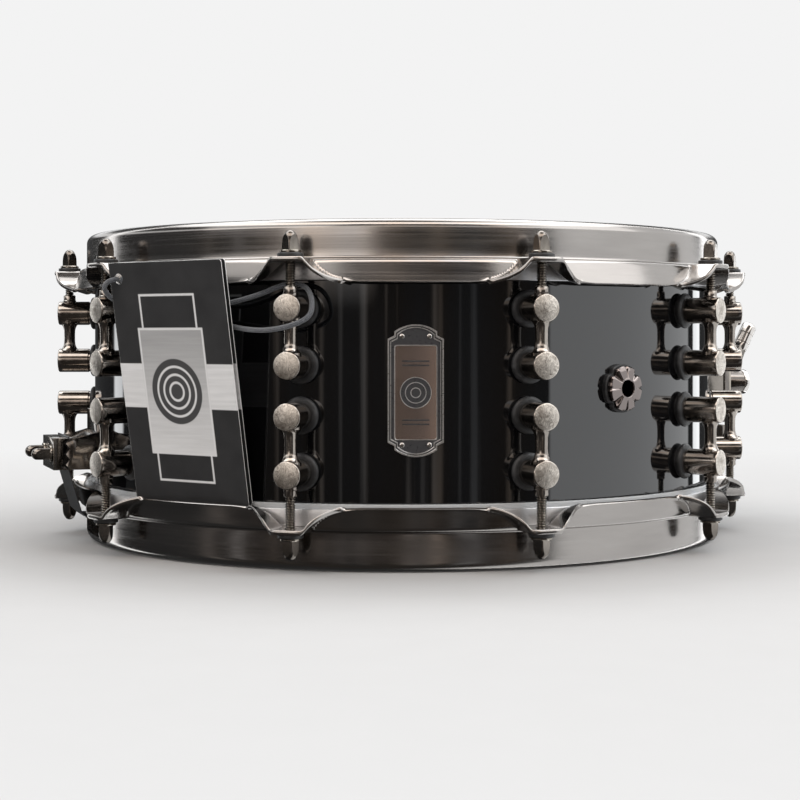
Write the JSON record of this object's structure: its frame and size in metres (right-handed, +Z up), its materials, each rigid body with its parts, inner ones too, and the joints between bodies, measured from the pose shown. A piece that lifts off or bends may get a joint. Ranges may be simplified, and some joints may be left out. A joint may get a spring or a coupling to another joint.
{
  "type": "snare drum",
  "caption": "Shallow snare drum: black lacquered shell, flanged metal hoops, tube lugs, tension rods, snare wires with a lever throw-off, vent, plain badge and a hanging tag.",
  "frame": {"origin": "centre of the plane of the snare-side hoop's rim, which the drum stands on", "axes": "+Z up through the batter head; -Y points out of the badge; +X to the right seen from the badge side"},
  "size_m": [0.438, 0.3877, 0.1701],
  "materials": {
    "shell_lacquer": "black high-gloss lacquer over wood plies",
    "hoop_metal": "dark nickel, polished, with fine brushing round the wall",
    "coated_film": "white sprayed coating on clear film",
    "clear_film": "clear hazy film",
    "flesh_hoop_metal": "rolled channel",
    "lug_metal": "antiqued black nickel",
    "rod_metal": "black nickel",
    "black_rubber": "moulded rubber",
    "black_nylon": "moulded nylon",
    "screw_steel": "zinc plated",
    "badge_metal": "polished nickel with a dark enamel field",
    "bracket_metal": "black nickel castings",
    "strap_ribbon": "black film ribbon",
    "snare_steel": "coiled steel wire",
    "end_plate_metal": "plated end plate",
    "printed_card": "dark grey printed card",
    "braided_cord": "braided elastic cord"
  },
  "bodies": {
    "drum": {"badge_plate": "badge_metal", "badge_screws": "badge_metal", "batter_flesh_hoop": "flesh_hoop_metal", "batter_head": "coated_film", "batter_hoop": "hoop_metal", "batter_lugs": "lug_metal", "bracket_screws": "screw_steel", "butt_base": "bracket_metal", "butt_clamp_jaw": "bracket_metal", "butt_clamp_screws": "rod_metal", "butt_strap": "strap_ribbon", "lug_gaskets": "black_rubber", "lug_screws": "screw_steel", "shell": "shell_lacquer", "snare_side_flesh_hoop": "flesh_hoop_metal", "snare_side_head": "clear_film", "snare_side_hoop": "hoop_metal", "snare_side_lugs": "lug_metal", "swing_tag": "printed_card", "tag_cord": "braided_cord", "tension_washers": "black_nylon", "throw_off_base": "bracket_metal", "throw_off_cover": "bracket_metal", "throw_off_cover_screws": "screw_steel", "vent_gasket": "black_rubber", "vent_grommet": "lug_metal", "vent_nut": "screw_steel"},
    "batter_rod_01": {"batter_rod_01": "rod_metal"},
    "batter_rod_02": {"batter_rod_02": "rod_metal"},
    "batter_rod_03": {"batter_rod_03": "rod_metal"},
    "batter_rod_04": {"batter_rod_04": "rod_metal"},
    "batter_rod_05": {"batter_rod_05": "rod_metal"},
    "batter_rod_06": {"batter_rod_06": "rod_metal"},
    "batter_rod_07": {"batter_rod_07": "rod_metal"},
    "batter_rod_08": {"batter_rod_08": "rod_metal"},
    "batter_rod_09": {"batter_rod_09": "rod_metal"},
    "batter_rod_10": {"batter_rod_10": "rod_metal"},
    "snare_side_rod_01": {"snare_side_rod_01": "rod_metal"},
    "snare_side_rod_02": {"snare_side_rod_02": "rod_metal"},
    "snare_side_rod_03": {"snare_side_rod_03": "rod_metal"},
    "snare_side_rod_04": {"snare_side_rod_04": "rod_metal"},
    "snare_side_rod_05": {"snare_side_rod_05": "rod_metal"},
    "snare_side_rod_06": {"snare_side_rod_06": "rod_metal"},
    "snare_side_rod_07": {"snare_side_rod_07": "rod_metal"},
    "snare_side_rod_08": {"snare_side_rod_08": "rod_metal"},
    "snare_side_rod_09": {"snare_side_rod_09": "rod_metal"},
    "snare_side_rod_10": {"snare_side_rod_10": "rod_metal"},
    "throw_off_lever": {"throw_off_lever": "bracket_metal", "throw_off_grip": "bracket_metal", "throw_off_cam": "screw_steel"},
    "snare_carriage": {"throw_off_carriage": "bracket_metal", "throw_off_clamp_jaw": "bracket_metal", "throw_off_clamp_screws": "rod_metal", "throw_off_strap": "strap_ribbon"},
    "tension_knob": {"tension_knob": "bracket_metal"},
    "snare_unit": {"snare_wires": "snare_steel", "snare_end_plates": "end_plate_metal"}
  },
  "joints": [
    {"name": "batter_rod_01_turn", "type": "hinge", "parent": "drum", "child": "batter_rod_01", "pos_m": [-0.06007, 0.18488, 0.15], "axis": [0, 0, 1], "continuous": true},
    {"name": "batter_rod_02_turn", "type": "hinge", "parent": "drum", "child": "batter_rod_02", "pos_m": [-0.15727, 0.11427, 0.15], "axis": [0, 0, 1], "continuous": true},
    {"name": "batter_rod_03_turn", "type": "hinge", "parent": "drum", "child": "batter_rod_03", "pos_m": [-0.1944, 0, 0.15], "axis": [0, 0, 1], "continuous": true},
    {"name": "batter_rod_04_turn", "type": "hinge", "parent": "drum", "child": "batter_rod_04", "pos_m": [-0.15727, -0.11427, 0.15], "axis": [0, 0, 1], "continuous": true},
    {"name": "batter_rod_05_turn", "type": "hinge", "parent": "drum", "child": "batter_rod_05", "pos_m": [-0.06007, -0.18488, 0.15], "axis": [0, 0, 1], "continuous": true},
    {"name": "batter_rod_06_turn", "type": "hinge", "parent": "drum", "child": "batter_rod_06", "pos_m": [0.06007, -0.18488, 0.15], "axis": [0, 0, 1], "continuous": true},
    {"name": "batter_rod_07_turn", "type": "hinge", "parent": "drum", "child": "batter_rod_07", "pos_m": [0.15727, -0.11427, 0.15], "axis": [0, 0, 1], "continuous": true},
    {"name": "batter_rod_08_turn", "type": "hinge", "parent": "drum", "child": "batter_rod_08", "pos_m": [0.1944, 0, 0.15], "axis": [0, 0, 1], "continuous": true},
    {"name": "batter_rod_09_turn", "type": "hinge", "parent": "drum", "child": "batter_rod_09", "pos_m": [0.15727, 0.11427, 0.15], "axis": [0, 0, 1], "continuous": true},
    {"name": "batter_rod_10_turn", "type": "hinge", "parent": "drum", "child": "batter_rod_10", "pos_m": [0.06007, 0.18488, 0.15], "axis": [0, 0, 1], "continuous": true},
    {"name": "snare_side_rod_01_turn", "type": "hinge", "parent": "drum", "child": "snare_side_rod_01", "pos_m": [-0.06007, 0.18488, 0.02], "axis": [0, 0, -1], "continuous": true},
    {"name": "snare_side_rod_02_turn", "type": "hinge", "parent": "drum", "child": "snare_side_rod_02", "pos_m": [-0.15727, 0.11427, 0.02], "axis": [0, 0, -1], "continuous": true},
    {"name": "snare_side_rod_03_turn", "type": "hinge", "parent": "drum", "child": "snare_side_rod_03", "pos_m": [-0.1944, 0, 0.02], "axis": [0, 0, -1], "continuous": true},
    {"name": "snare_side_rod_04_turn", "type": "hinge", "parent": "drum", "child": "snare_side_rod_04", "pos_m": [-0.15727, -0.11427, 0.02], "axis": [0, 0, -1], "continuous": true},
    {"name": "snare_side_rod_05_turn", "type": "hinge", "parent": "drum", "child": "snare_side_rod_05", "pos_m": [-0.06007, -0.18488, 0.02], "axis": [0, 0, -1], "continuous": true},
    {"name": "snare_side_rod_06_turn", "type": "hinge", "parent": "drum", "child": "snare_side_rod_06", "pos_m": [0.06007, -0.18488, 0.02], "axis": [0, 0, -1], "continuous": true},
    {"name": "snare_side_rod_07_turn", "type": "hinge", "parent": "drum", "child": "snare_side_rod_07", "pos_m": [0.15727, -0.11427, 0.02], "axis": [0, 0, -1], "continuous": true},
    {"name": "snare_side_rod_08_turn", "type": "hinge", "parent": "drum", "child": "snare_side_rod_08", "pos_m": [0.1944, 0, 0.02], "axis": [0, 0, -1], "continuous": true},
    {"name": "snare_side_rod_09_turn", "type": "hinge", "parent": "drum", "child": "snare_side_rod_09", "pos_m": [0.15727, 0.11427, 0.02], "axis": [0, 0, -1], "continuous": true},
    {"name": "snare_side_rod_10_turn", "type": "hinge", "parent": "drum", "child": "snare_side_rod_10", "pos_m": [0.06007, 0.18488, 0.02], "axis": [0, 0, -1], "continuous": true},
    {"name": "throw_off_turn", "type": "hinge", "parent": "drum", "child": "throw_off_lever", "pos_m": [0.20162, 0.06551, 0.0846], "axis": [0.9511, 0.309, 0], "range_deg": [0, 90]},
    {"name": "snare_drop", "type": "slide", "parent": "drum", "child": "snare_carriage", "axis": [0, 0, -1], "range_m": [0, 0.00701]},
    {"name": "tension_knob_turn", "type": "hinge", "parent": "snare_carriage", "child": "tension_knob", "pos_m": [0.18574, 0.06035, 0.112], "axis": [0, 0, 1], "continuous": true},
    {"name": "snare_tilt", "type": "hinge", "parent": "drum", "child": "snare_unit", "pos_m": [-0.15407, -0.05006, 0.0136], "axis": [-0.309, 0.9511, 0], "range_deg": [0, 1.24]}
  ],
  "couplings": [
    {"joint": "snare_drop", "follows": "throw_off_turn", "m_per_rad": 0.0044563},
    {"joint": "snare_tilt", "follows": "throw_off_turn", "ratio": 0.013669}
  ]
}
